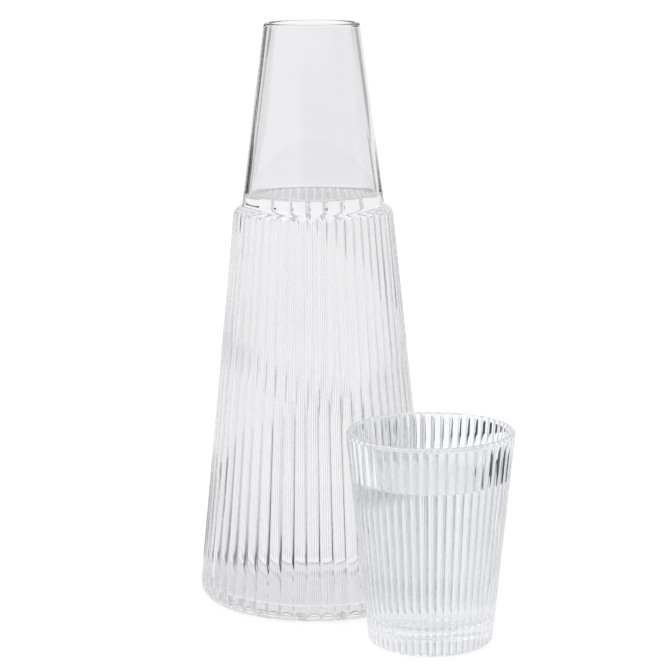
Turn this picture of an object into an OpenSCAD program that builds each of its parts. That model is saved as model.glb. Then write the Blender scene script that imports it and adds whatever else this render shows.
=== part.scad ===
// Bedside carafe with a matching tumbler, both of clear reeded glass.
// The carafe stands on the origin, the tumbler stands beside it on the same table.
// The tumbler's mouth clears the smooth neck and its depth matches the neck's height,
// so that it can be turned over and stored upside down on the carafe's shoulder.

/* [Carafe] */
// Height of the shoulder, where the reeded body meets the smooth neck
shoulder_h = 185; // [150:1:230]
// Height of the smooth neck above the shoulder
neck_h = 85; // [70:1:100]
// Outer diameter of the mouth
mouth_d = 44; // [38:0.5:52]
// Outer diameter of the neck at the shoulder
neck_d = 66.7; // [60:0.1:72]
// Width of the shoulder's ledge, from the neck out to the crests of the ribs
ledge_w = 3.5; // [2.5:0.1:6]
// Outer diameter over the ribs just above the foot
body_d = 110; // [96:1:130]
// Thickness of the neck's wall
neck_wall = 2.6; // [2:0.1:3.6]
// Thickness of the body's wall behind the valleys of the ribs
body_wall = 2.8; // [2:0.1:4]
// Thickness of the floor
carafe_floor = 6; // [4:0.5:14]
// Radius that rounds the foot into the table
carafe_foot_r = 6; // [4:0.5:9]
// Radius between the wall and the floor inside
carafe_inside_r = 6; // [3:0.5:18]
// Height over which the neck sweeps out into the shoulder
sweep_h = 2.7; // [1.5:0.1:5]
// Height over which the shoulder rounds down into the body
round_h = 3.2; // [2:0.1:6]

/* [Ribs] */
// Number of ribs round each piece
rib_count = 54; // [36:1:64]
// Height of a carafe rib above its valleys, at the foot
carafe_rib_h = 0.8; // [0.4:0.05:1.2]
// Height of a tumbler rib above its valleys, at the mouth
tumbler_rib_h = 0.55; // [0.3:0.05:0.8]
// Turn of the first rib from the +X direction, in degrees
rib_turn = 2.2; // [0:0.1:6]

/* [Tumbler] */
// Thickness of the floor
tumbler_floor = 10.5; // [6:0.5:16]
// Outer diameter over the ribs just above the foot
tumbler_foot_d = 55.8; // [48:0.1:64]
// Thickness of the wall at the mouth, over the ribs
tumbler_wall = 3.2; // [2.4:0.1:4]
// Thickness of the wall at the floor, over the ribs
tumbler_base_wall = 3.8; // [2.6:0.1:6]
// Radius that rounds the foot into the table
tumbler_foot_r = 3; // [2:0.1:5]
// Radius between the wall and the floor inside
tumbler_inside_r = 5; // [2:0.5:9]
// Height of the smooth lip above the ribs
lip_h = 2.4; // [2:0.1:5]

/* [Fit and place] */
// Gap between the tumbler's mouth and the neck when it is stored upside down
neck_gap = 0.9; // [0.6:0.1:2]
// Gap between the tumbler's floor and the rim of the neck when it is stored
rim_gap = 0.5; // [0.3:0.1:2]
// Gap between the feet of the two pieces on the table
stand_gap = 9; // [4:0.5:40]
// Direction of the tumbler from the carafe, in degrees from +X
stand_turn = -56.4; // [-180:0.1:180]

/* [Hidden] */
glass_colour = [0.86, 0.9, 0.92, 0.5];

// Facets of preview circles, and steps in a quarter round of an outline.
round_facets = 96;
quarter_steps = 6;
// How far a solid or a cut runs past the face that trims it.
overrun = 2;
// How far the trimming outline stands clear of the crests, and how far the core stays
// inside the valleys, as shares of a rib's height.
clear_share = 0.25;
core_share = 0.8;
// Length of a curve's handle, as a share of the height that it bends over.
handle_share = 0.66;

carafe_h = shoulder_h + neck_h;
mouth_r = mouth_d / 2;
neck_r = neck_d / 2;
shoulder_r = neck_r + ledge_w;
body_r = body_d / 2;
neck_slope = (neck_r - mouth_r) / neck_h;
body_slope = (body_r - shoulder_r) / (shoulder_h - carafe_foot_r);
shoulder_rib_h = carafe_rib_h * shoulder_r / body_r;
rim_r = neck_wall / 2;

tumbler_h = neck_h + rim_gap + tumbler_floor;
tumbler_mouth_r = neck_r + neck_gap + tumbler_wall;
tumbler_body_r = tumbler_foot_d / 2;
tumbler_slope = (tumbler_body_r - tumbler_mouth_r) / (tumbler_h - tumbler_foot_r);
tumbler_inner_slope = (tumbler_base_wall - tumbler_wall) / (tumbler_h - tumbler_floor);
lip_r = tumbler_wall / 2;
stand_reach = body_r + stand_gap + tumbler_body_r;

// Outer radius of the neck and of the lines that the crests of the ribs follow.
function neck_at(z) = neck_r - neck_slope * (z - shoulder_h);
function body_at(z) = shoulder_r + body_slope * (shoulder_h - z);
function tumbler_at(z) = tumbler_mouth_r + tumbler_slope * (tumbler_h - z);

// Inner radius of the tumbler.
function tumbler_inner_at(z) =
    tumbler_at(z) - tumbler_wall - tumbler_inner_slope * (tumbler_h - z);

// Points of an arc round a centre, from one angle to another.
function arc(centre, r, from, to) =
    let (steps = ceil(quarter_steps * abs(to - from) / 90))
    [for (i = [0 : steps]) let (a = from + (to - from) * i / steps)
        centre + r * [cos(a), sin(a)]];

// Points of the arc that rounds a level floor into a wall, where the wall passes a
// given radius at the height of the arc's centre and leans in by its slope.
function corner(wall_r, floor_h, r, slope) =
    let (lean = atan(slope))
    arc([wall_r - r / cos(lean), floor_h + r], r, -90, lean);

// The point at a given radius on the line that runs through two points.
function run_out(from, to, r) = to + (to - from) * (r - to[0]) / (to[0] - from[0]);

// Points of a list from one place in it to another.
function part_of(list, first, last) = [for (i = [first : last]) list[i]];

// The outside of a rounded foot, cut off where it runs out through the crests.
function foot(wall_r, r, slope, clear) =
    let (
        round = corner(wall_r, 0, r, slope),
        last = len(round) - 2)
    concat(
        part_of(round, 0, last),
        [run_out(round[last - 1], round[last], wall_r + clear)]);

// Points of a curve between two points, bent by a handle at each of them.
function curve(start, start_handle, end_handle, end) =
    let (steps = 2 * quarter_steps)
    [for (i = [0 : steps]) let (t = i / steps, u = 1 - t)
        u * u * u * start + 3 * u * u * t * (start + start_handle)
        + 3 * u * t * t * (end + end_handle) + t * t * t * end];

// The S-shaped shoulder, up from the body's line to the neck's line, with each line
// set in by a thickness of glass.
function shoulder_curve(body_in, neck_in) =
    let (low = shoulder_h - round_h, high = shoulder_h + sweep_h)
    curve(
        [body_at(low) - body_in, low],
        handle_share * round_h * [-body_slope, 1],
        handle_share * sweep_h * [neck_slope, -1],
        [neck_at(high) - neck_in, high]);

// Radius of the rod that stands up from the valleys beside it by a given height.
function rod_r(crest, height, half_turn) =
    let (valley = crest - height)
    (valley * valley + crest * crest - 2 * valley * crest * cos(half_turn))
    / (2 * (crest - valley * cos(half_turn)));

// A ring of tapered rods with one common apex on the axis. Their crests follow the
// line with a given radius and slope at a height, past the floor and past the top.
module rib_ring(crest_r, crest_h, slope, rib_h, top_h) {
    apex_h = crest_h + crest_r / slope;
    rod = rod_r(crest_r, rib_h, 180 / rib_count);
    taper = asin(rod / norm([crest_r, apex_h - crest_h]));
    tilt = abs(atan(slope)) - taper;
    floor_reach = abs(apex_h + overrun) / cos(tilt);
    top_reach = abs(apex_h - top_h - overrun) / cos(tilt);
    near = min(floor_reach, top_reach);
    far = max(floor_reach, top_reach);
    flip = slope > 0 ? 180 : 0;
    for (i = [0 : rib_count - 1])
        rotate([0, 0, rib_turn + i * 360 / rib_count + 180 - flip])
            translate([0, 0, apex_h])
                rotate([0, flip - tilt, 0])
                    translate([0, 0, near])
                        cylinder(
                            h = far - near,
                            r1 = near * tan(taper),
                            r2 = far * tan(taper),
                            $fn = round_facets);
}

module turned(outline) {
    rotate_extrude($fn = round_facets)
        polygon(outline);
}

// Outline of the carafe's outside, from the foot up over the rim to the axis.
function carafe_outside() =
    let (
        clear = clear_share * carafe_rib_h,
        ledge = shoulder_curve(0, 0),
        rim = [neck_at(carafe_h - rim_r) - rim_r, carafe_h - rim_r])
    concat(
        [[0, 0]],
        foot(body_r, carafe_foot_r, body_slope, clear),
        [run_out(ledge[2], ledge[1], ledge[0][0] + clear)],
        part_of(ledge, 1, len(ledge) - 1),
        arc(rim, rim_r, 0, 180),
        [[0, rim[1]]]);

// Outline of the carafe's hollow, from the floor out through the mouth.
function carafe_hollow() =
    let (
        glass = carafe_rib_h + body_wall,
        corner_h = carafe_floor + carafe_inside_r,
        top = carafe_h + overrun)
    concat(
        [[0, carafe_floor]],
        corner(body_at(corner_h) - glass, carafe_floor, carafe_inside_r, body_slope),
        shoulder_curve(shoulder_rib_h + body_wall, neck_wall),
        [[neck_at(top) - neck_wall, top], [0, top]]);

// Outline of the carafe's core, inside the valleys of its ribs, up to a plain round
// stem that is trimmed to the neck.
function carafe_core() =
    let (
        top = carafe_h + overrun,
        share = 1 - (1 + core_share) * carafe_rib_h / body_r,
        stem_r = share * shoulder_r)
    [
        [0, -overrun],
        [share * body_at(-overrun), -overrun],
        [stem_r, shoulder_h],
        [stem_r, top],
        [0, top]
    ];

module carafe() {
    color(glass_colour)
        difference() {
            intersection() {
                union() {
                    turned(carafe_core());
                    rib_ring(body_r, carafe_foot_r, body_slope, carafe_rib_h, shoulder_h);
                }
                turned(carafe_outside());
            }
            turned(carafe_hollow());
        }
}

// Outline of the tumbler's outside, from the foot up over the lip to the axis.
function tumbler_outside() =
    let (
        clear = clear_share * tumbler_rib_h,
        rib_end = tumbler_h - lip_h,
        lip = [tumbler_mouth_r - lip_r, tumbler_h - lip_r])
    concat(
        [[0, 0]],
        foot(tumbler_body_r, tumbler_foot_r, tumbler_slope, clear),
        [[tumbler_at(rib_end) + clear, rib_end]],
        arc(lip, lip_r, 0, 180),
        [[0, lip[1]]]);

// Outline of the tumbler's hollow, from the floor out through the mouth.
function tumbler_hollow() =
    let (
        corner_h = tumbler_floor + tumbler_inside_r,
        slope = tumbler_slope + tumbler_inner_slope,
        top = tumbler_h + overrun)
    concat(
        [[0, tumbler_floor]],
        corner(tumbler_inner_at(corner_h), tumbler_floor, tumbler_inside_r, slope),
        [[tumbler_inner_at(top), top], [0, top]]);

// Outline of the tumbler's core, inside the valleys of its ribs, with the band of glass
// above them that becomes the lip.
function tumbler_core() =
    let (
        top = tumbler_h + overrun,
        share = 1 - (1 + core_share) * tumbler_rib_h / tumbler_mouth_r,
        band_h = tumbler_h - lip_h - core_share * tumbler_rib_h,
        core_r = share * tumbler_at(band_h))
    [
        [0, -overrun],
        [share * tumbler_at(-overrun), -overrun],
        [core_r, band_h],
        [core_r + lip_h, band_h + lip_h],
        [core_r + lip_h, top],
        [0, top]
    ];

module tumbler() {
    color(glass_colour)
        rotate([0, 0, stand_turn])
            translate([stand_reach, 0, 0])
                rotate([0, 0, -stand_turn])
                    difference() {
                        intersection() {
                            union() {
                                turned(tumbler_core());
                                rib_ring(
                                    tumbler_mouth_r,
                                    tumbler_h,
                                    tumbler_slope,
                                    tumbler_rib_h,
                                    tumbler_h);
                            }
                            turned(tumbler_outside());
                        }
                        turned(tumbler_hollow());
                    }
}

carafe();
tumbler();
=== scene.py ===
"""A bedside carafe and its tumbler, both of clear reeded glass, with water in them.

The glass is modelled as closed solids with true wall thickness. Where the glass is wet,
its inner skin refracts from glass into water, and the water's own surface from water
into air, so that light is bent only at real interfaces. Lengths are in metres, and angles
are in radians where nothing else is said.
"""

import logging
import math
from abc import ABC, abstractmethod
from collections.abc import Sequence
from dataclasses import dataclass
from enum import Enum, IntEnum

import bpy
import numpy as np
from mathutils import Matrix, Vector


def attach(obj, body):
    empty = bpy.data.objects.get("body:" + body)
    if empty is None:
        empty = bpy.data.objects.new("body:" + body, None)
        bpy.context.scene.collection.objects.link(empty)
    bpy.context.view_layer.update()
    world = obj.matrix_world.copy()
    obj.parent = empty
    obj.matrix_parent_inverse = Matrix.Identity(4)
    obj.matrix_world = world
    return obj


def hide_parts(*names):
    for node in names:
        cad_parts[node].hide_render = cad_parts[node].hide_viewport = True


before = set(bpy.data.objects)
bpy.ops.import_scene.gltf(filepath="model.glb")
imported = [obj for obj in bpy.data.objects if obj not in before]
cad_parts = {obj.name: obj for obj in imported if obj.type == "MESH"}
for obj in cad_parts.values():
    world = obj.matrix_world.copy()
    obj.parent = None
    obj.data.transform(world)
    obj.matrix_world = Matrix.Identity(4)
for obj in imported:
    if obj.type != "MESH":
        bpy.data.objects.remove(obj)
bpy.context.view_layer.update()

log = logging.getLogger("scene")

Point = tuple[float, float]
Span = tuple[float, float]
Colour = tuple[float, float, float]

GLASS_IOR = 1.52
WATER_IOR = 1.333
GLASS_RIPPLE = 0.00002


class Face(IntEnum):
    """Which of a piece's two materials a row of faces takes."""

    DRY = 0
    WET = 1


class MixSocket(IntEnum):
    """Places of a colour mix node's sockets, whose names its other modes share."""

    FACTOR = 0
    FIRST = 6
    SECOND = 7
    RESULT = 2


class Operation(Enum):
    """What a math node works out, by its own name for it."""

    ANGLE = "ARCTAN2"
    LARGEST = "MAXIMUM"
    PRODUCT = "MULTIPLY"
    SCALE_AND_ADD = "MULTIPLY_ADD"


@dataclass(frozen=True)
class Ring:
    """One ring of a turned surface.

    Args:
        r: Radius of the plain outline.
        z: Height.
        crest: Radius of the crests of the ribs at this height, or 0 where it is plain.
        fill: Radius up to which the valleys are filled, where the ribs run out.
        face: Material of the faces between this ring and the next.
    """

    r: float
    z: float
    crest: float = 0.0
    fill: float = 0.0
    face: Face = Face.DRY


@dataclass(frozen=True)
class Ribs:
    """The reeding of a glass wall: rounded ribs that meet in narrow valleys.

    Args:
        count: Number of ribs.
        turn: Turn of the first rib from the +X direction.
        samples: Columns of one rib.
        crowding: How closely the columns crowd at the valleys, where 1 is evenly spaced.
        height_share: Height of a rib above its valleys, as a share of the crests' radius.
        blend: Height over which the ribs and a plain outline run into each other.
        groove_share: Further depth of the valleys, as a share of the crests' radius.
        groove_w: Distance from a valley at which that further depth has mostly faded.
        groove_power: How suddenly it fades there.
    """

    count: int = 54
    turn: float = math.radians(2.2)
    samples: int = 18
    crowding: float = 1.9
    height_share: float = 0.0146
    blend: float = 0.0002
    groove_share: float = 0.010
    groove_w: float = 0.00045
    groove_power: float = 2.0

    def spread(self) -> np.ndarray:
        """Angles of one rib's columns from its crest, from valley to valley."""
        u = np.linspace(-1, 1, self.samples, endpoint=False)
        return np.sign(u) * (1 - (1 - np.abs(u)) ** self.crowding) * math.pi / self.count

    def angles(self) -> np.ndarray:
        """Angles of all the columns, closest together at the valleys."""
        crests = self.turn + np.arange(self.count) * 2 * math.pi / self.count
        return (crests[:, None] + self.spread()[None, :]).ravel()

    def radii(self, ring: Ring) -> np.ndarray:
        """Radius of every column on a ring.

        Args:
            ring: The ring, plain or ribbed.

        Returns:
            The radii. Where the plain outline is inside the ribs, it trims them.
        """
        plain = np.full(self.count * self.samples, ring.r)
        if not ring.crest:
            return plain
        # A rib is part of the round rod that passes through its crest and both valleys.
        half = math.pi / self.count
        valley = ring.crest * (1 - self.height_share)
        rod = (valley**2 + ring.crest**2 - 2 * valley * ring.crest * math.cos(half)) / (
            2 * (ring.crest - valley * math.cos(half))
        )
        axis = ring.crest - rod
        off = np.abs(np.tile(self.spread(), self.count))
        ribbed = axis * np.cos(off) + np.sqrt(rod**2 - (axis * np.sin(off)) ** 2)
        far = (half - off) * ring.crest / self.groove_w
        ribbed = ribbed - self.groove_share * ring.crest * np.exp(-far**self.groove_power)
        # Where two outlines cross, they are blended, so that there is no crease.
        if ring.fill:
            mix = np.clip(0.5 + 0.5 * (ring.fill - ribbed) / self.blend, 0, 1)
            ribbed = ribbed * (1 - mix) + ring.fill * mix + self.blend * mix * (1 - mix)
        mix = np.clip(0.5 + 0.5 * (ribbed - plain) / self.blend, 0, 1)
        return ribbed * (1 - mix) + plain * mix - self.blend * mix * (1 - mix)


@dataclass(frozen=True)
class Water:
    """A body of water that climbs the glass a little round its edge.

    Args:
        level: Height of its flat middle.
        contact: Height at which it meets the glass.
        gap: Hair of space that is left between its skin and the glass.
        climb: Distance from the glass over which the climb mostly fades.
        steps: Distances from the glass of the rings that the climb needs.
    """

    level: float
    contact: float
    gap: float = 0.00004
    climb: float = 0.0016
    steps: tuple[float, ...] = (
        0.0, 0.0002, 0.0005, 0.0009, 0.0014, 0.002, 0.0028, 0.004, 0.0056, 0.008,
    )

    def rings(self, inside: Sequence[Point], bore: float) -> list[Ring]:
        """The rings of the water, from the middle of the floor up its skin and back in.

        Args:
            inside: Outline of the hollow that it fills, from the middle of the floor up.
            bore: Radius of the hollow at which it meets the glass.

        Returns:
            The rings, of which those of the skin are wet and those of the surface dry.
        """
        rings = [Ring(max(0.0, r - self.gap), z + self.gap, face=Face.WET) for r, z in inside]
        rings.append(Ring(bore - self.gap, self.contact - self.gap, face=Face.WET))
        for step in self.steps:
            rise = (self.contact - self.level) * math.exp(-step / self.climb)
            rings.append(Ring(bore + self.gap - step, self.level + rise))
        return [*rings, Ring(0.0, self.level)]


def arc(centre: Point, r: float, start: float, end: float, steps: int) -> list[Point]:
    """Points of an arc, with its angles in degrees."""
    angles = np.radians(np.linspace(start, end, steps + 1))
    return [(centre[0] + r * math.cos(a), centre[1] + r * math.sin(a)) for a in angles]


def turned(
    name: str,
    rings: Sequence[Ring],
    ribs: Ribs,
    materials: Sequence[bpy.types.Material],
    at: Point = (0.0, 0.0),
) -> bpy.types.Object:
    """A closed solid turned about an upright axis, from its first middle point, out and up
    round its outline, to its last middle point.

    Args:
        name: Name of the new object.
        rings: The rings, of which the first and last have no radius.
        ribs: The columns, and the ribs of those rings that have a crest.
        materials: The materials of its dry and its wet faces.
        at: Where the axis stands.

    Returns:
        The new object, smooth shaded.
    """
    angles = ribs.angles()
    n = len(angles)
    body = rings[1:-1]
    radii = np.stack([ribs.radii(ring) for ring in body])
    heights = np.array([ring.z for ring in body])
    co = np.empty((len(body) * n + 2, 3))
    co[:-2, 0] = (at[0] + radii * np.cos(angles)).ravel()
    co[:-2, 1] = (at[1] + radii * np.sin(angles)).ravel()
    co[:-2, 2] = np.repeat(heights, n)
    co[-2] = (at[0], at[1], rings[0].z)
    co[-1] = (at[0], at[1], rings[-1].z)
    first, last = len(co) - 2, len(co) - 1
    col = np.arange(n)
    nxt = (col + 1) % n
    faces: list[tuple[int, ...]] = [(first, b, a) for a, b in zip(col, nxt)]
    kinds = [int(rings[0].face)] * n
    for k, ring in enumerate(body[:-1]):
        low, high = k * n, (k + 1) * n
        faces += list(zip(low + col, low + nxt, high + nxt, high + col))
        kinds += [int(ring.face)] * n
    top = (len(body) - 1) * n
    faces += [(last, top + a, top + b) for a, b in zip(col, nxt)]
    kinds += [int(body[-1].face)] * n
    mesh = bpy.data.meshes.new(name)
    mesh.from_pydata(co.tolist(), [], [tuple(int(i) for i in f) for f in faces])
    mesh.polygons.foreach_set("material_index", kinds)
    mesh.polygons.foreach_set("use_smooth", [True] * len(faces))
    mesh.update()
    obj = bpy.data.objects.new(name, mesh)
    bpy.context.scene.collection.objects.link(obj)
    for material in materials:
        mesh.materials.append(material)
    return obj


def blank_material(name: str) -> tuple[bpy.types.Material, bpy.types.NodeTree]:
    """A new node material with nothing in it but its output.

    Args:
        name: Name of the material.

    Returns:
        The material and its node tree.
    """
    material = bpy.data.materials.new(name)
    material.use_nodes = True
    tree = material.node_tree
    tree.nodes.clear()
    tree.nodes.new("ShaderNodeOutputMaterial")
    return material, tree


def show(tree: bpy.types.NodeTree, shader: bpy.types.Node) -> None:
    """Joins a shader node to the output of a material."""
    tree.links.new(shader.outputs[0], tree.nodes["Material Output"].inputs["Surface"])


def calculated(
    tree: bpy.types.NodeTree, operation: Operation, *values: bpy.types.NodeSocket | float
) -> bpy.types.NodeSocket:
    """The result of a new math node.

    Args:
        tree: The node tree to add to.
        operation: What it works out.
        values: Its inputs in order, each a socket to join or a number.

    Returns:
        The socket that carries the result.
    """
    node = tree.nodes.new("ShaderNodeMath")
    node.operation = operation.value
    for socket, value in zip(node.inputs, values):
        if isinstance(value, bpy.types.NodeSocket):
            tree.links.new(value, socket)
        else:
            socket.default_value = value
    return node.outputs[0]


def mottled(
    tree: bpy.types.NodeTree, colour: Colour, low: float, scale: float
) -> bpy.types.NodeSocket:
    """A colour that varies with a noise.

    Args:
        tree: The node tree to add to.
        colour: The colour at its brightest.
        low: Its lowest brightness, as a share of the brightest.
        scale: How fine the noise is.

    Returns:
        The socket that carries the colour.
    """
    noise = tree.nodes.new("ShaderNodeTexNoise")
    noise.inputs["Scale"].default_value = scale
    ramp = tree.nodes.new("ShaderNodeValToRGB")
    ramp.color_ramp.elements[0].color = (*[c * low for c in colour], 1)
    ramp.color_ramp.elements[1].color = (*colour, 1)
    tree.links.new(noise.outputs["Fac"], ramp.inputs["Fac"])
    return ramp.outputs["Color"]


def seen_directly(tree: bpy.types.NodeTree, amount: float) -> bpy.types.NodeSocket:
    """A value that is an amount for camera, glossy and transmission rays, and 0 for others.

    Args:
        tree: The node tree to add to.
        amount: The value for those rays.

    Returns:
        The socket that carries the value.
    """
    path = tree.nodes.new("ShaderNodeLightPath")
    seen = path.outputs["Is Camera Ray"]
    for other in ("Is Glossy Ray", "Is Transmission Ray"):
        seen = calculated(tree, Operation.LARGEST, seen, path.outputs[other])
    return calculated(tree, Operation.PRODUCT, seen, amount)


@dataclass(frozen=True)
class ClearFinish:
    """A clear dielectric, tinted very slightly and unevenly, with a faint ripple.

    Args:
        name: Name of the material.
        ior: Refractive index of its inside, relative to what lies against it.
        tint: Colour that it gives to light.
        tint_spread: How far the tint varies to either side.
        ripple: Height of the ripple, or 0 for none.
        scale: How fine the noise of tint and ripple is.
        detail: How many finer layers that noise has.
    """

    name: str
    ior: float
    tint: Colour
    tint_spread: float = 0.006
    ripple: float = 0.0
    scale: float = 60.0
    detail: float = 1.0

    def material(self) -> bpy.types.Material:
        """Builds the material.

        Returns:
            A glass shader whose tint and surface vary with a noise in the object.
        """
        material, tree = blank_material(self.name)
        glass = tree.nodes.new("ShaderNodeBsdfGlass")
        glass.inputs["Roughness"].default_value = 0.0
        glass.inputs["IOR"].default_value = self.ior
        coords = tree.nodes.new("ShaderNodeTexCoord")
        noise = tree.nodes.new("ShaderNodeTexNoise")
        noise.inputs["Scale"].default_value = self.scale
        noise.inputs["Detail"].default_value = self.detail
        tree.links.new(coords.outputs["Object"], noise.inputs["Vector"])
        mix = tree.nodes.new("ShaderNodeMix")
        mix.data_type = "RGBA"
        low = [max(0.0, c - self.tint_spread) for c in self.tint]
        high = [min(1.0, c + self.tint_spread) for c in self.tint]
        mix.inputs[MixSocket.FIRST].default_value = (*low, 1.0)
        mix.inputs[MixSocket.SECOND].default_value = (*high, 1.0)
        tree.links.new(noise.outputs["Fac"], mix.inputs[MixSocket.FACTOR])
        tree.links.new(mix.outputs[MixSocket.RESULT], glass.inputs["Color"])
        if self.ripple:
            bump = tree.nodes.new("ShaderNodeBump")
            bump.inputs["Strength"].default_value = 1.0
            bump.inputs["Distance"].default_value = self.ripple
            tree.links.new(noise.outputs["Fac"], bump.inputs["Height"])
            tree.links.new(bump.outputs["Normal"], glass.inputs["Normal"])
        show(tree, glass)
        return material


@dataclass(frozen=True)
class SkinFinish:
    """The side of a body of water that lies against glass, where nothing refracts.

    Args:
        name: Name of the material.
    """

    name: str = "water_against_glass"

    def material(self) -> bpy.types.Material:
        """Builds the material.

        Returns:
            A shader that lets all light through unbent.
        """
        material, tree = blank_material(self.name)
        show(tree, tree.nodes.new("ShaderNodeBsdfTransparent"))
        return material


@dataclass(frozen=True)
class FloorFinish:
    """A floor that looks white, with faint shadows.

    Args:
        name: Name of the material.
        colour: Colour of its matt surface.
        low: Lowest brightness of that colour, as a share of the brightest.
        scale: How fine its variation is.
        glow: Brightness that it has without any light on it.
    """

    name: str = "pale_floor"
    colour: Colour = (0.14, 0.14, 0.14)
    low: float = 0.995
    scale: float = 3.0
    glow: float = 0.90

    def material(self) -> bpy.types.Material:
        """Builds the material.

        Returns:
            A matt surface, with a glow that only eyes, mirrors and glass see.
        """
        material, tree = blank_material(self.name)
        matt = tree.nodes.new("ShaderNodeBsdfDiffuse")
        tree.links.new(mottled(tree, self.colour, self.low, self.scale), matt.inputs["Color"])
        glow = tree.nodes.new("ShaderNodeEmission")
        tree.links.new(seen_directly(tree, self.glow), glow.inputs["Strength"])
        both = tree.nodes.new("ShaderNodeAddShader")
        tree.links.new(matt.outputs[0], both.inputs[0])
        tree.links.new(glow.outputs[0], both.inputs[1])
        show(tree, both)
        return material


@dataclass(frozen=True)
class CardFinish:
    """The dull dark face of a card that keeps light off the set.

    Args:
        name: Name of the material.
        colour: Its colour.
        low: Lowest brightness of that colour, as a share of the brightest.
        scale: How fine its variation is.
        roughness: How dull it is.
    """

    name: str = "dark_card"
    colour: Colour = (0.02, 0.02, 0.022)
    low: float = 0.9
    scale: float = 20.0
    roughness: float = 0.8

    def material(self) -> bpy.types.Material:
        """Builds the material.

        Returns:
            A rough matt surface.
        """
        material, tree = blank_material(self.name)
        matt = tree.nodes.new("ShaderNodeBsdfDiffuse")
        matt.inputs["Roughness"].default_value = self.roughness
        tree.links.new(mottled(tree, self.colour, self.low, self.scale), matt.inputs["Color"])
        show(tree, matt)
        return material


@dataclass(frozen=True)
class Vessel(ABC):
    """A reeded glass vessel on an upright axis, with water in it.

    Args:
        body_r: Radius of the crests of its ribs just above the foot.
        foot_r: Radius that rounds the foot into the table.
        mouth_wall: Thickness of its wall at the mouth.
        floor_h: Thickness of its floor.
        inside_r: Radius between the floor and the wall inside.
        water: The water in it.
        ribs: Its ribs.
        in_air: Finish of the glass where it is dry.
        in_water: Finish of the glass where it is wet.
        foot_steps: Steps of the foot's arc.
        lip_steps: Steps of the lip's arc.
        inner_rings: Rings of the straight stretch inside, below the lip.
        corner_steps: Steps of the arc between the floor and the wall inside.
        floor_rings: Rings of the flat floor inside.
        clear: How far the plain outline stands off the crests where it isn't to trim them.
        margin: Length that a straight stretch leaves free next to an arc.
    """

    body_r: float
    foot_r: float
    mouth_wall: float
    floor_h: float
    inside_r: float
    water: Water
    ribs: Ribs
    in_air: ClearFinish
    in_water: ClearFinish
    foot_steps: int
    lip_steps: int
    inner_rings: int
    corner_steps: int = 12
    floor_rings: int = 3
    clear: float = 0.001
    margin: float = 0.002

    @abstractmethod
    def slope(self) -> float:
        """How much the reeded wall widens per unit of height."""

    @abstractmethod
    def crest_at(self, z: float) -> float:
        """Radius of the crests of the ribs at a height."""

    @abstractmethod
    def bore_at(self, z: float) -> float:
        """Radius of the hollow at a height near the mouth or the water's edge."""

    @abstractmethod
    def inside(self) -> list[Point]:
        """Outline of the lower part of the hollow, from the middle of the floor up."""

    def lean(self) -> float:
        """How far the reeded wall faces up, as an angle."""
        return -math.atan(self.slope())

    def corner_h(self) -> float:
        """Height at which the wall inside ends and the corner to the floor begins."""
        return self.floor_h + self.inside_r

    def floor_outline(self, wall: float) -> list[Point]:
        """Outline of the floor inside and of its round corner.

        Args:
            wall: Radius of the hollow where the corner begins.

        Returns:
            The points, from the middle of the floor up to the wall.
        """
        flat_r = wall - self.inside_r / math.cos(self.lean())
        flat = [(flat_r * k / self.floor_rings, self.floor_h) for k in range(self.floor_rings)]
        end = math.degrees(self.lean())
        return flat + arc((flat_r, self.corner_h()), self.inside_r, -90, end, self.corner_steps)

    def foot(self) -> list[Ring]:
        """The rings of the underside and of the round edge of the foot.

        Returns:
            The rings, from the middle out.
        """
        flat_r = self.body_r - self.foot_r / math.cos(self.lean())
        end = math.degrees(self.lean())
        edge = arc((flat_r, self.foot_r), self.foot_r, -90, end, self.foot_steps)
        underside = [Ring(0.0, 0.0), Ring(flat_r / 2, 0.0)]
        return underside + [Ring(r, z, self.crest_at(z)) for r, z in edge]

    def lip(self, outside: float, top: float, start: float) -> list[Ring]:
        """The rings of the half round lip.

        Args:
            outside: Outer radius of the mouth, below the round.
            top: Height of the rim.
            start: Angle at which the round begins, in degrees.

        Returns:
            The rings, from the outside over the rim to the inside.
        """
        r = self.mouth_wall / 2
        half_round = arc((outside - r, top - r), r, start, 180, self.lip_steps)
        return [Ring(x, z) for x, z in half_round]

    def hollow(self, top: float) -> list[Ring]:
        """The rings of the hollow, wet from the water's edge down.

        Args:
            top: Height of the rim.

        Returns:
            The rings, from below the lip down to the middle of the floor.
        """
        outline = self.inside()
        start, end = top - self.mouth_wall, outline[-1][1] + self.margin
        heights = [*np.linspace(start, end, self.inner_rings), self.water.contact]
        rings = []
        for z in sorted(heights, reverse=True):
            face = Face.WET if z <= self.water.contact else Face.DRY
            rings.append(Ring(self.bore_at(z), z, face=face))
        return rings + [Ring(r, z, face=Face.WET) for r, z in reversed(outline)]

    def water_rings(self) -> list[Ring]:
        """The rings of the water in it."""
        return self.water.rings(self.inside(), self.bore_at(self.water.contact))


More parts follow.
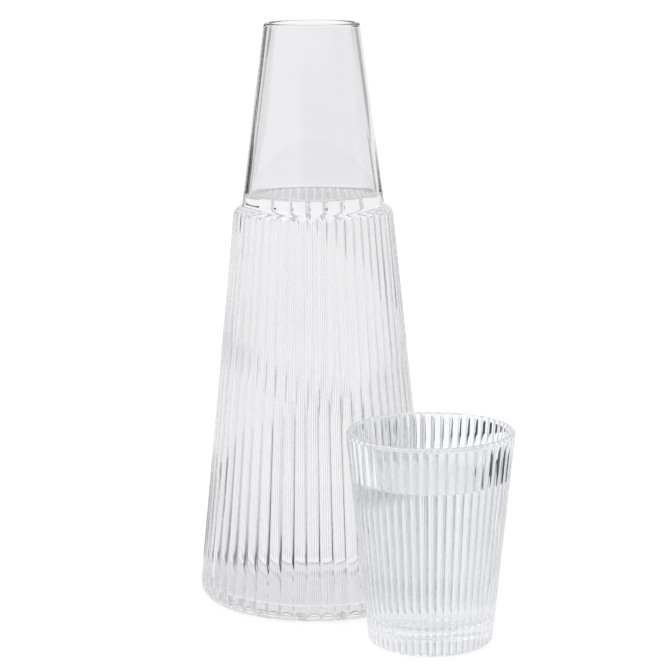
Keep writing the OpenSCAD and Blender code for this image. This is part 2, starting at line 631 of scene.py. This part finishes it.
@dataclass(frozen=True)
class Carafe(Vessel):
    """The carafe, with a smooth neck above a reeded body that widens downwards.

    Args:
        shoulder_h: Height of the shoulder, where the reeded body meets the neck.
        neck_h: Height of the neck above the shoulder.
        mouth_r: Outer radius of the mouth.
        neck_r: Outer radius of the neck at the shoulder.
        ledge_w: Width of the shoulder, from the neck out to the crests of the ribs.
        body_wall: Thickness of the body's wall behind the ribs, at the foot.
        top_share: Thickness of the glass below the shoulder, as a share of that at the foot.
        round_h: Height over which the shoulder rounds down into the body.
        sweep_r: Radius of the hollow sweep between neck and shoulder, outside.
        edge_r: Radius of the round edge between shoulder and body, outside.
        inner_bend_r: Radius of both of these bends inside.
        sweep_steps: Steps of the sweep's arc.
        edge_steps: Steps of the edge's arc.
        body_rings: Rings of the body's straight stretch.
        neck_rings: Rings of the neck's straight stretch.
    """

    body_r: float = 0.055
    foot_r: float = 0.006
    mouth_wall: float = 0.0026
    floor_h: float = 0.006
    inside_r: float = 0.006
    water: Water = Water(level=0.1903, contact=0.1921)
    ribs: Ribs = Ribs()
    in_air: ClearFinish = ClearFinish(
        "carafe_glass_in_air", GLASS_IOR, tint=(0.949, 0.949, 0.953), ripple=GLASS_RIPPLE
    )
    in_water: ClearFinish = ClearFinish(
        "carafe_glass_in_water", GLASS_IOR / WATER_IOR, tint=(0.980, 0.980, 0.982)
    )
    foot_steps: int = 14
    lip_steps: int = 16
    inner_rings: int = 3
    shoulder_h: float = 0.185
    neck_h: float = 0.085
    mouth_r: float = 0.022
    neck_r: float = 0.03335
    ledge_w: float = 0.0035
    body_wall: float = 0.0028
    top_share: float = 0.94
    round_h: float = 0.0032
    sweep_r: float = 0.0032
    edge_r: float = 0.0043
    inner_bend_r: float = 0.006
    sweep_steps: int = 9
    edge_steps: int = 10
    body_rings: int = 3
    neck_rings: int = 2

    def slope(self) -> float:
        """How much the body widens per unit of height: below zero, as it narrows."""
        return (self.neck_r + self.ledge_w - self.body_r) / (self.shoulder_h - self.foot_r)

    def crest_at(self, z: float) -> float:
        """Radius of the crests of the body's ribs at a height."""
        return self.neck_r + self.ledge_w - self.slope() * (self.shoulder_h - z)

    def neck_slope(self) -> float:
        """How much the neck narrows per unit of height."""
        return (self.neck_r - self.mouth_r) / self.neck_h

    def neck_at(self, z: float) -> float:
        """Outer radius of the neck at a height."""
        return self.neck_r - self.neck_slope() * (z - self.shoulder_h)

    def bore_at(self, z: float) -> float:
        """Radius of the neck's hollow at a height."""
        return self.neck_at(z) - self.mouth_wall

    def shoulder(self, body_in: float, neck_in: float, sweep: float, edge: float) -> list[Point]:
        """The S-shaped shoulder, from the body's line up to the neck's line.

        Args:
            body_in: How far inside the crests the body's line runs.
            neck_in: How far inside the neck's outside the neck's line runs.
            sweep: Radius of the hollow below the neck.
            edge: Radius of the round edge above the body.

        Returns:
            The points of both arcs, from the lowest up.
        """
        lean = self.lean()
        tilt = math.atan(self.neck_slope())
        low = self.shoulder_h - self.round_h
        body_normal = np.array([math.cos(lean), math.sin(lean)])
        neck_normal = np.array([math.cos(tilt), math.sin(tilt)])
        down_neck = np.array([math.sin(tilt), -math.cos(tilt)])
        centre = np.array([self.crest_at(low) - body_in, low]) - edge * body_normal
        # The sweep's circle slides down the neck's line until it touches the edge's circle.
        start = np.array([self.neck_r - neck_in, self.shoulder_h]) + sweep * neck_normal
        across = start - centre
        half = float(across @ down_neck)
        slide = -half - math.sqrt(half * half - (float(across @ across) - (sweep + edge) ** 2))
        hollow = start + slide * down_neck
        x, z = hollow - centre
        meet = math.degrees(math.atan2(z, x))
        low_arc = arc(tuple(centre), edge, math.degrees(lean), meet, self.edge_steps)
        end = math.degrees(tilt) + 180
        high_arc = arc(tuple(hollow), sweep, meet + 180, end, self.sweep_steps)
        return low_arc + high_arc[1:]

    def inside(self) -> list[Point]:
        """Outline of the hollow, from the middle of the floor up to the shoulder's top.

        Returns:
            The points, from the lowest up.
        """
        glass = self.body_r * self.ribs.height_share + self.body_wall
        floor = self.floor_outline(self.crest_at(self.corner_h()) - glass)
        bend = self.inner_bend_r
        return floor + self.shoulder(glass * self.top_share, self.mouth_wall, bend, bend)

    def rings(self) -> list[Ring]:
        """All the rings of the glass.

        Returns:
            The rings, from under the foot, over the rim and down to the floor inside.
        """
        rings = self.foot()
        ledge = self.shoulder(0.0, 0.0, self.sweep_r, self.edge_r)
        start, end = self.foot_r + self.margin, ledge[0][1] - self.margin
        for z in np.linspace(start, end, self.body_rings):
            rings.append(Ring(self.crest_at(z) + self.clear, z, self.crest_at(z)))
        for r, z in ledge:
            rings.append(Ring(r, z, self.crest_at(z)))
        top = self.shoulder_h + self.neck_h
        start, end = ledge[-1][1] + 2 * self.margin, top - self.mouth_wall
        for z in np.linspace(start, end, self.neck_rings):
            rings.append(Ring(self.neck_at(z), z))
        return rings + self.lip(self.neck_at(top - self.mouth_wall / 2), top, 0) + self.hollow(top)

    def dress(
        self, surface: bpy.types.Material, skin: bpy.types.Material
    ) -> list[bpy.types.Object]:
        """Makes the glass and the water and joins them to the frame.

        Args:
            surface: Material of the water against air.
            skin: Material of the water against glass.

        Returns:
            The new objects.
        """
        finishes = (self.in_air.material(), self.in_water.material())
        glass = turned("carafe_glass", self.rings(), self.ribs, finishes)
        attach(glass, "carafe")
        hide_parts("carafe")
        water = turned("carafe_water", self.water_rings(), self.ribs, (surface, skin))
        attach(water, "carafe")
        return [glass, water]


@dataclass(frozen=True)
class Tumbler(Vessel):
    """The tumbler, with a smooth lip above a reeded wall that widens upwards.

    It is stored upside down over the carafe's neck, from which it takes its own mouth and
    height, and here it stands beside the carafe.

    Args:
        base_wall: Thickness of its wall at the floor.
        lip_h: Height of the smooth lip above the ribs.
        carafe: The carafe that it goes with.
        neck_gap: Gap between its mouth and the foot of the neck when it is stored.
        rim_gap: Gap between its floor and the rim of the neck when it is stored.
        stand_gap: Gap between the feet of the two pieces on the table.
        stand_turn: Direction in which it stands from the carafe, from +X.
        wall_rings: Rings of the reeded wall.
        fade_below: How far below the lip the ribs begin to run out.
        fade_h: Height over which they run out.
        fade_rings: Rings of that stretch.
        fade_power: How the valleys rise there, where 1 is in a straight line.
        foot_margin: Length that the reeded wall leaves free above the foot's arc.
    """

    body_r: float = 0.0279
    foot_r: float = 0.003
    mouth_wall: float = 0.0032
    floor_h: float = 0.0105
    inside_r: float = 0.005
    water: Water = Water(level=0.0740, contact=0.0753)
    ribs: Ribs = Ribs(groove_w=0.0004)
    in_air: ClearFinish = ClearFinish(
        "tumbler_glass_in_air", GLASS_IOR, tint=(0.960, 0.963, 0.969), ripple=GLASS_RIPPLE
    )
    in_water: ClearFinish = ClearFinish(
        "tumbler_glass_in_water", GLASS_IOR / WATER_IOR, tint=(0.976, 0.977, 0.980)
    )
    foot_steps: int = 12
    lip_steps: int = 18
    inner_rings: int = 8
    base_wall: float = 0.0038
    lip_h: float = 0.0024
    carafe: Carafe = Carafe()
    neck_gap: float = 0.0009
    rim_gap: float = 0.0005
    stand_gap: float = 0.009
    stand_turn: float = math.radians(-56.4)
    wall_rings: int = 12
    fade_below: float = 0.0004
    fade_h: float = 0.0012
    fade_rings: int = 8
    fade_power: float = 0.7
    foot_margin: float = 0.001

    def height(self) -> float:
        """Height of the rim."""
        return self.carafe.neck_h + self.rim_gap + self.floor_h

    def mouth_r(self) -> float:
        """Outer radius of the mouth."""
        return self.carafe.neck_r + self.neck_gap + self.mouth_wall

    def place(self) -> Point:
        """Where the axis stands, beside the carafe."""
        reach = self.carafe.body_r + self.stand_gap + self.body_r
        return reach * math.cos(self.stand_turn), reach * math.sin(self.stand_turn)

    def slope(self) -> float:
        """How much the wall widens per unit of height."""
        return (self.mouth_r() - self.body_r) / (self.height() - self.foot_r)

    def crest_at(self, z: float) -> float:
        """Radius of the crests of the ribs at a height."""
        return self.mouth_r() - self.slope() * (self.height() - z)

    def bore_at(self, z: float) -> float:
        """Radius of the hollow at a height, where the wall is thickest at the floor."""
        share = (self.height() - z) / (self.height() - self.floor_h)
        return self.crest_at(z) - self.mouth_wall - (self.base_wall - self.mouth_wall) * share

    def inside(self) -> list[Point]:
        """Outline of the hollow, from the middle of the floor up to the wall."""
        return self.floor_outline(self.bore_at(self.corner_h()))

    def rings(self) -> list[Ring]:
        """All the rings of the glass.

        Returns:
            The rings, from under the foot, over the rim and down to the floor inside.
        """
        rings = self.foot()
        top = self.height()
        fade_start = top - self.lip_h - self.fade_below
        for z in np.linspace(self.foot_r + self.foot_margin, fade_start, self.wall_rings):
            rings.append(Ring(self.crest_at(z) + self.clear, z, self.crest_at(z)))
        depth = self.mouth_r() * (self.ribs.height_share + self.ribs.groove_share)
        for k in range(1, self.fade_rings + 1):
            z = fade_start + self.fade_h * k / self.fade_rings
            crest = self.crest_at(z)
            filled = crest - depth * (1 - k / self.fade_rings) ** self.fade_power
            rings.append(Ring(crest + self.clear, z, crest, filled))
        outside = self.crest_at(top - self.mouth_wall / 2)
        return rings + self.lip(outside, top, math.degrees(self.lean())) + self.hollow(top)

    def dress(
        self, surface: bpy.types.Material, skin: bpy.types.Material
    ) -> list[bpy.types.Object]:
        """Makes the glass and the water and joins them to the frame.

        Args:
            surface: Material of the water against air.
            skin: Material of the water against glass.

        Returns:
            The new objects.
        """
        at = self.place()
        finishes = (self.in_air.material(), self.in_water.material())
        glass = turned("tumbler_glass", self.rings(), self.ribs, finishes, at)
        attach(glass, "tumbler")
        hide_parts("tumbler")
        water = turned("tumbler_water", self.water_rings(), self.ribs, (surface, skin), at)
        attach(water, "tumbler")
        return [glass, water]


@dataclass(frozen=True)
class Card:
    """A dark card that lies flat on the floor and shows only in mirrors and glass.

    Args:
        name: Name of the card.
        azimuths: Its sides, in degrees from straight behind the set towards the right.
        reach: Its near and far edge, as distances from the middle of the carafe.
        columns: Points of each of these edges, which are arcs.
    """

    name: str
    azimuths: Span
    reach: Span
    columns: int = 13

    def lay(self, material: bpy.types.Material, height: float) -> None:
        """Builds the card, which neither the camera nor dull surfaces can see.

        Args:
            material: The dark finish of its face.
            height: Height that it lies at.
        """
        n = self.columns
        turns = np.radians(np.linspace(*self.azimuths, n))
        co = [(r * math.sin(a), r * math.cos(a), height) for r in self.reach for a in turns]
        faces = [(k, k + 1, n + k + 1, n + k) for k in range(n - 1)]
        mesh = bpy.data.meshes.new(self.name)
        mesh.from_pydata(co, [], faces)
        card = bpy.data.objects.new(self.name, mesh)
        bpy.context.scene.collection.objects.link(card)
        mesh.materials.append(material)
        card.visible_camera = False
        card.visible_diffuse = False
        card.visible_shadow = False


@dataclass(frozen=True)
class Studio:
    """A white room with dark cards behind and beside the set, and one soft lamp above it.

    Args:
        stops: Azimuths in degrees, from straight behind the set towards the right, and the
            brightness of the wall at each.
        wall_top: Height up to which that brightness holds, as part of a unit direction.
        wall_fade: Height over which it then fades to white.
        cards: The dark cards.
        floor_reach: Half the side of the floor.
        floor_drop: How far the floor lies below the feet.
        lamp_power: Power of the lamp in watts.
        lamp_size: Side of the lamp.
        lamp_at: Where the lamp hangs, in front of the set and to its left.
        lamp_aim: What the lamp points at.
    """

    stops: tuple[tuple[float, float], ...] = (
        (-180.0, 0.5), (-164.0, 0.5), (-156.0, 1.0), (-38.0, 1.0), (-34.0, 0.0), (-20.0, 0.0),
        (-16.0, 1.0), (28.0, 1.0), (31.0, 0.3), (40.0, 0.5), (50.0, 0.8), (75.0, 0.6),
        (90.0, 0.8), (110.0, 0.5), (180.0, 0.5),
    )
    wall_top: float = 0.16
    wall_fade: float = 0.06
    cards: tuple[Card, ...] = (
        Card("card_left_near", (-50.0, -26.0), (0.06, 0.34)),
        Card("card_left_far", (-40.0, -20.0), (1.7, 8.0)),
        Card("card_right_near", (26.0, 50.0), (0.33, 0.39)),
        Card("card_right_far", (19.0, 60.0), (0.90, 3.5)),
        Card("card_side", (78.0, 92.0), (0.20, 0.30)),
    )
    floor_reach: float = 8.0
    floor_drop: float = 0.0003
    lamp_power: float = 3.0
    lamp_size: float = 0.9
    lamp_at: tuple[float, float, float] = (-0.7, -0.4, 1.1)
    lamp_aim: tuple[float, float, float] = (0.0, 0.0, 0.1)

    def wall(
        self, tree: bpy.types.NodeTree, x: bpy.types.NodeSocket, y: bpy.types.NodeSocket
    ) -> bpy.types.NodeSocket:
        """Adds the brightness of the wall in a direction to a world's nodes.

        Args:
            tree: The world's node tree.
            x: The direction's part towards the right.
            y: The direction's part away from the camera.

        Returns:
            The socket that carries the brightness.
        """
        turn = calculated(tree, Operation.ANGLE, x, y)
        # A ramp runs from 0 to 1, so that the azimuth straight behind the set is at 0.5.
        ramp = tree.nodes.new("ShaderNodeValToRGB")
        elements = ramp.color_ramp.elements
        while len(elements) < len(self.stops):
            elements.new(0.5)
        for element, (azimuth, level) in zip(elements, self.stops):
            element.position = azimuth / 360 + 0.5
            element.color = (level, level, level, 1.0)
        share = calculated(tree, Operation.SCALE_AND_ADD, turn, 0.5 / math.pi, 0.5)
        tree.links.new(share, ramp.inputs["Fac"])
        return ramp.outputs["Color"]

    def world(self) -> None:
        """Builds the world: plain white to the camera, the room to everything else."""
        world = bpy.data.worlds.new("studio")
        bpy.context.scene.world = world
        world.use_nodes = True
        tree = world.node_tree
        tree.nodes.clear()
        out = tree.nodes.new("ShaderNodeOutputWorld")
        coords = tree.nodes.new("ShaderNodeTexCoord")
        split = tree.nodes.new("ShaderNodeSeparateXYZ")
        tree.links.new(coords.outputs["Generated"], split.inputs[0])
        up = tree.nodes.new("ShaderNodeMapRange")
        up.interpolation_type = "SMOOTHSTEP"
        up.inputs["From Min"].default_value = self.wall_top
        up.inputs["From Max"].default_value = self.wall_top + self.wall_fade
        tree.links.new(split.outputs["Z"], up.inputs["Value"])
        path = tree.nodes.new("ShaderNodeLightPath")
        seen = path.outputs["Is Camera Ray"]
        white = calculated(tree, Operation.LARGEST, up.outputs["Result"], seen)
        room = tree.nodes.new("ShaderNodeMix")
        room.data_type = "RGBA"
        wall = self.wall(tree, split.outputs["X"], split.outputs["Y"])
        tree.links.new(white, room.inputs[MixSocket.FACTOR])
        tree.links.new(wall, room.inputs[MixSocket.FIRST])
        room.inputs[MixSocket.SECOND].default_value = (1, 1, 1, 1)
        background = tree.nodes.new("ShaderNodeBackground")
        tree.links.new(room.outputs[MixSocket.RESULT], background.inputs["Color"])
        tree.links.new(background.outputs[0], out.inputs["Surface"])

    def floor(self) -> None:
        """Builds the floor, a large square a hair below the feet."""
        r, z = self.floor_reach, -self.floor_drop
        mesh = bpy.data.meshes.new("floor")
        mesh.from_pydata([(-r, -r, z), (r, -r, z), (r, r, z), (-r, r, z)], [], [(0, 1, 2, 3)])
        floor = bpy.data.objects.new("floor", mesh)
        bpy.context.scene.collection.objects.link(floor)
        floor.data.materials.append(FloorFinish().material())

    def lay_cards(self) -> None:
        """Lays the dark cards on the floor, just below the feet."""
        dark = CardFinish().material()
        for card in self.cards:
            card.lay(dark, -self.floor_drop / 2)

    def lamp(self) -> None:
        """Builds the soft lamp above the set."""
        data = bpy.data.lights.new("softbox", "AREA")
        data.shape = "SQUARE"
        data.size = self.lamp_size
        data.energy = self.lamp_power
        lamp = bpy.data.objects.new("softbox", data)
        lamp.location = self.lamp_at
        aim = Vector(self.lamp_aim) - Vector(self.lamp_at)
        lamp.rotation_mode = "QUATERNION"
        lamp.rotation_quaternion = aim.to_track_quat("-Z", "Y")
        bpy.context.scene.collection.objects.link(lamp)


@dataclass(frozen=True)
class LightPaths:
    """How many times light may be turned inside the glass before it is given up.

    Args:
        bounces: The largest number of turns.
    """

    bounces: int = 32

    def apply(self) -> None:
        """Lets light through thick clear glass, where it is often mirrored inside."""
        cycles = bpy.context.scene.cycles
        cycles.max_bounces = self.bounces
        cycles.transmission_bounces = self.bounces
        cycles.glossy_bounces = self.bounces


@dataclass(frozen=True)
class Viewpoint:
    """Where the photo was taken from, as fitted to the outlines of both pieces.

    Args:
        focal_px: Focal length in pixels of the photo.
        frame_px: Side of the square photo in pixels.
        reach: Distance from the middle of the carafe's foot.
        elevation: Angle above the table, seen from the middle of the carafe's foot.
        foot_px: Pixel of the photo, from its top left, at which that middle is.
        roll: Turn of the camera about its own line of sight.
        sensor_w: Width of the sensor in millimetres.
        clip: Nearest and farthest distance that is drawn.
    """

    focal_px: float = 2347.22
    frame_px: float = 665.0
    reach: float = 1.131946
    elevation: float = math.radians(16.957)
    foot_px: Point = (316.402, 589.538)
    roll: float = math.radians(-0.387)
    sensor_w: float = 36.0
    clip: Span = (0.05, 50.0)

    def camera(self) -> None:
        """Builds the camera, which sees the middle of the carafe's foot at its own pixel."""
        half = self.frame_px / 2
        a = (self.foot_px[0] - half) / self.focal_px
        b = -(self.foot_px[1] - half) / self.focal_px
        c, s = math.cos(self.roll), math.sin(self.roll)
        ray = Vector((a * c - b * s, a * s + b * c, 1.0)).normalized()
        pitch = math.atan2(ray.y, ray.z) + math.asin(
            math.sin(self.elevation) / math.hypot(ray.y, ray.z)
        )
        ahead = ray.y * math.sin(pitch) + ray.z * math.cos(pitch)
        yaw = math.atan2(-ray.x, ahead)
        forward = Vector(
            (math.sin(yaw) * math.cos(pitch), math.cos(yaw) * math.cos(pitch), -math.sin(pitch))
        )
        right = Vector((math.cos(yaw), -math.sin(yaw), 0.0))
        up = right.cross(forward)
        x_axis = right * c + up * s
        y_axis = -right * s + up * c
        place = Vector(
            (0.0, -self.reach * math.cos(self.elevation), self.reach * math.sin(self.elevation))
        )
        data = bpy.data.cameras.new("camera")
        data.sensor_width = self.sensor_w
        data.lens = self.focal_px * self.sensor_w / self.frame_px
        data.clip_start, data.clip_end = self.clip
        camera = bpy.data.objects.new("camera", data)
        rows = [[x_axis[i], y_axis[i], -forward[i], place[i]] for i in range(3)]
        camera.matrix_world = Matrix([*rows, [0, 0, 0, 1]])
        bpy.context.scene.collection.objects.link(camera)
        bpy.context.scene.camera = camera


def main() -> None:
    """Builds the set, the room and the camera, and reports each piece of the set."""
    logging.basicConfig(level=logging.INFO)
    bpy.context.scene.view_settings.view_transform = "Standard"
    surface = ClearFinish("water_in_air", WATER_IOR, tint=(0.990, 0.992, 0.994)).material()
    skin = SkinFinish().material()
    carafe = Carafe()
    for vessel in (carafe, Tumbler(carafe=carafe)):
        for piece in vessel.dress(surface, skin):
            log.info("%s: %d faces", piece.name, len(piece.data.polygons))
    studio = Studio()
    studio.world()
    studio.floor()
    studio.lay_cards()
    studio.lamp()
    LightPaths().apply()
    Viewpoint().camera()


if __name__ == "__main__":
    main()
